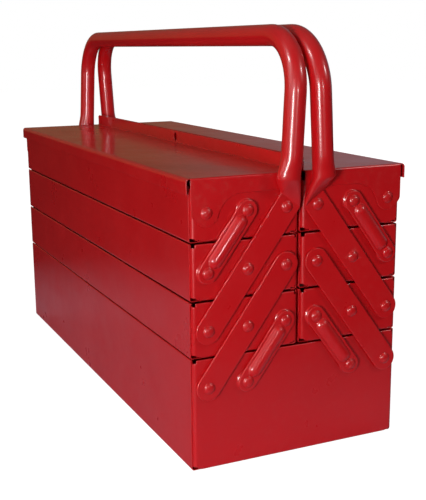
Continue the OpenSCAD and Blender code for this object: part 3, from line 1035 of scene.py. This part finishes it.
def make(name, parts, body, slot, side=1, end=1, holes=()):
    obj = mesh_object(name + ".look", parts, side, end)
    if holes:
        drill(obj, holes)
    return dress(obj, name, body, slot)


make("base_pan", [pan(BASE)], "base", "panel_enamel")
make("base_rivets", rivets(BASE), "base", "rivet_enamel")
for end_name, end in ENDS.items():
    make(f"base_{end_name}_end", [end_panel(BASE)], "base", "panel_enamel", 1, end)

for side_name, side in SIDES.items():
    for level_name, level in LEVELS.items():
        tray = f"{side_name}_{level_name}"
        body = f"{tray}_tray"
        make(f"{tray}_pan", [pan(level)], body, "panel_enamel", side)
        make(f"{tray}_rivets", rivets(level), body, "rivet_enamel", side)
        for end_name, end in ENDS.items():
            make(f"{tray}_{end_name}_end", [end_panel(level)], body, "panel_enamel", side, end)
    make(f"{side_name}_lid", [lid()], f"{side_name}_lid", "lid_enamel", side)
    pin_holes = [rod((end * LINK_X, side * rivet_y(place), rivet_z(level)), HOLE_R, 20)
                 for end in (1, -1)
                 for level, place in ((LOWER, OUTER), (MIDDLE, CENTRE), (UPPER, INNER))]
    make(f"{side_name}_handle", [handle()], f"{side_name}_handle", "handle_enamel", side,
         holes=pin_holes)
    for end_name, end in ENDS.items():
        for kind, part in (("long", long_link()), ("low", short_link(BASE, CENTRE)),
                           ("high", short_link(MIDDLE, OUTER))):
            link = f"{side_name}_{kind}_link_{end_name}"
            make(link, [part], link, "link_enamel", side, end)


# ---- floor, light and camera -------------------------------------------------------------------

WHITE = (1.0, 1.0, 1.0)
FLOOR_SIZE = 12.0
FLOOR_GLOW = 0.985         # just short of white
SEEN_TONE = (0.25, 0.25, 0.25)
# Painted light on the floor, seen only by the enamel: a painted pool of light near the box and painted
# shade beyond
PAINTED_POOL_TONE = (0.48, 0.44, 0.54)
PAINTED_SHADE_TONE = (0.04, 0.04, 0.04)
NEAR_R, FAR_R = 0.32, 0.58


def pale_floor():
    """White to the camera but for faint shadows; to the enamel, pale near the box and dark beyond: a
    painted pool of light and painted shade
    """
    material = bpy.data.materials.new("pale_floor")
    graph = Graph(material)
    dull = graph.nodes["Principled BSDF"]
    graph.feed(dull.inputs["Roughness"], 0.8)
    graph.feed(dull.inputs["Specular IOR Level"], 0.0)
    from_middle = graph.nodes.new("ShaderNodeVectorMath")
    from_middle.operation = "LENGTH"
    graph.feed(from_middle.inputs[0], graph.source("ShaderNodeTexCoord", "Object"))
    beyond = graph.spread(from_middle.outputs["Value"], NEAR_R, FAR_R)
    # Painted pool of light fading to painted shade: the floor's colour in the enamel's reflections and
    # bounce
    mirrored = graph.mixed(beyond, opaque(PAINTED_POOL_TONE), opaque(PAINTED_SHADE_TONE))
    seen = graph.source("ShaderNodeLightPath", "Is Camera Ray")
    graph.feed(dull.inputs["Base Color"], graph.mixed(seen, mirrored, opaque(SEEN_TONE)))
    graph.feed(dull.inputs["Emission Color"], opaque(WHITE))
    graph.feed(dull.inputs["Emission Strength"], graph.product(seen, FLOOR_GLOW))
    return material


def floor():
    mesh = bpy.data.meshes.new("floor")
    half = FLOOR_SIZE / 2
    mesh.from_pydata([(-half, -half, 0), (half, -half, 0), (half, half, 0), (-half, half, 0)],
                     [], [(0, 1, 2, 3)])
    obj = bpy.data.objects.new("floor", mesh)
    bpy.context.scene.collection.objects.link(obj)
    obj.data.materials.append(pale_floor())


BROWN = (0.17, 0.112, 0.056)
BLUISH = (0.20, 0.25, 0.29)
IN_FRONT = (0.05, 0.04, 0.04)
OVERHEAD = (0.12, 0.10, 0.09)


def room_light():
    """A dim room: brown behind the box, bluer behind its right side, darker in front and overhead"""
    world = bpy.data.worlds.new("studio")
    bpy.context.scene.world = world
    graph = Graph(world)
    direction = graph.nodes.new("ShaderNodeSeparateXYZ")
    graph.feed(direction.inputs[0], graph.source("ShaderNodeTexCoord", "Generated"))
    forwards = graph.spread(direction.outputs["X"], -0.2, 0.3)
    rightwards = graph.spread(direction.outputs["Y"], 0.35, 0.6)
    upwards = graph.spread(direction.outputs["Z"], 0.1, 0.7)
    behind = graph.mixed(rightwards, opaque(BROWN), opaque(BLUISH))
    around = graph.mixed(forwards, behind, opaque(IN_FRONT))
    room = graph.nodes["Background"]
    graph.feed(room.inputs["Color"], graph.mixed(upwards, around, opaque(OVERHEAD)))
    backdrop = graph.nodes.new("ShaderNodeBackground")
    graph.feed(backdrop.inputs["Color"], opaque(WHITE))
    choose = graph.nodes.new("ShaderNodeMixShader")
    graph.feed(choose.inputs[0], graph.source("ShaderNodeLightPath", "Is Camera Ray"))
    graph.feed(choose.inputs[1], room.outputs[0])
    graph.feed(choose.inputs[2], backdrop.outputs[0])
    graph.feed(graph.nodes["World Output"].inputs["Surface"], choose.outputs[0])


def lamp(name, place, target, size, power, mirrored=True, lighting=True):
    """An area lamp. Not mirrored, it never shows in the gloss; not lighting, it shows only there."""
    light = bpy.data.lights.new(name, "AREA")
    light.shape = "RECTANGLE"
    light.size, light.size_y = size
    light.energy = power
    obj = bpy.data.objects.new(name, light)
    bpy.context.scene.collection.objects.link(obj)
    obj.location = place
    obj.rotation_euler = (Vector(target) - Vector(place)).to_track_quat("-Z", "Y").to_euler()
    obj.visible_glossy = mirrored
    obj.visible_diffuse = lighting


def studio():
    """A key lamp low in front and a second one high on the right, two small ones that only
    glint in the gloss, and wide soft ones beside, behind and above"""
    room_light()
    floor()
    lamp("key", (1.00, -0.85, 0.25), (0.1, 0.0, 0.18), (0.20, 0.28), 8.2)
    lamp("front", (1.75, -0.14, 0.38), (0.2, 0.0, 0.15), (0.12, 0.10), 2.6, lighting=False)
    lamp("glint", (0.38, -1.40, 1.38), (0.25, 0.0, 0.15), (0.30, 0.14), 9.0, lighting=False)
    lamp("second", (1.5, 1.25, 1.25), (0.2, 0.0, 0.15), (0.26, 0.26), 7.2)
    lamp("side", (0.3, -2.6, 1.0), (0.0, 0.0, 0.1), (1.6, 1.2), 10.0)
    lamp("behind", (-2.0, 1.7, 1.5), (0.0, 0.0, 0.1), (1.6, 1.2), 16.0, mirrored=False)
    lamp("above", (0.0, -0.2, 2.2), (0.0, 0.0, 0.1), (1.2, 1.2), 4.0, mirrored=False)


LENS = 66.726
CAMERA_AT = (0.87544, -0.36516, 0.33233)
CAMERA_TURN = (77.489, 0.510, 65.097)    # degrees


def camera():
    """The viewpoint of the picture that the box was modelled from"""
    data = bpy.data.cameras.new("camera")
    data.lens = LENS
    data.sensor_width = 36.0
    data.clip_end = 50.0
    obj = bpy.data.objects.new("camera", data)
    bpy.context.scene.collection.objects.link(obj)
    obj.location = CAMERA_AT
    obj.rotation_euler = [math.radians(turn) for turn in CAMERA_TURN]
    bpy.context.scene.camera = obj


bpy.context.scene.view_settings.view_transform = "Standard"
studio()
camera()
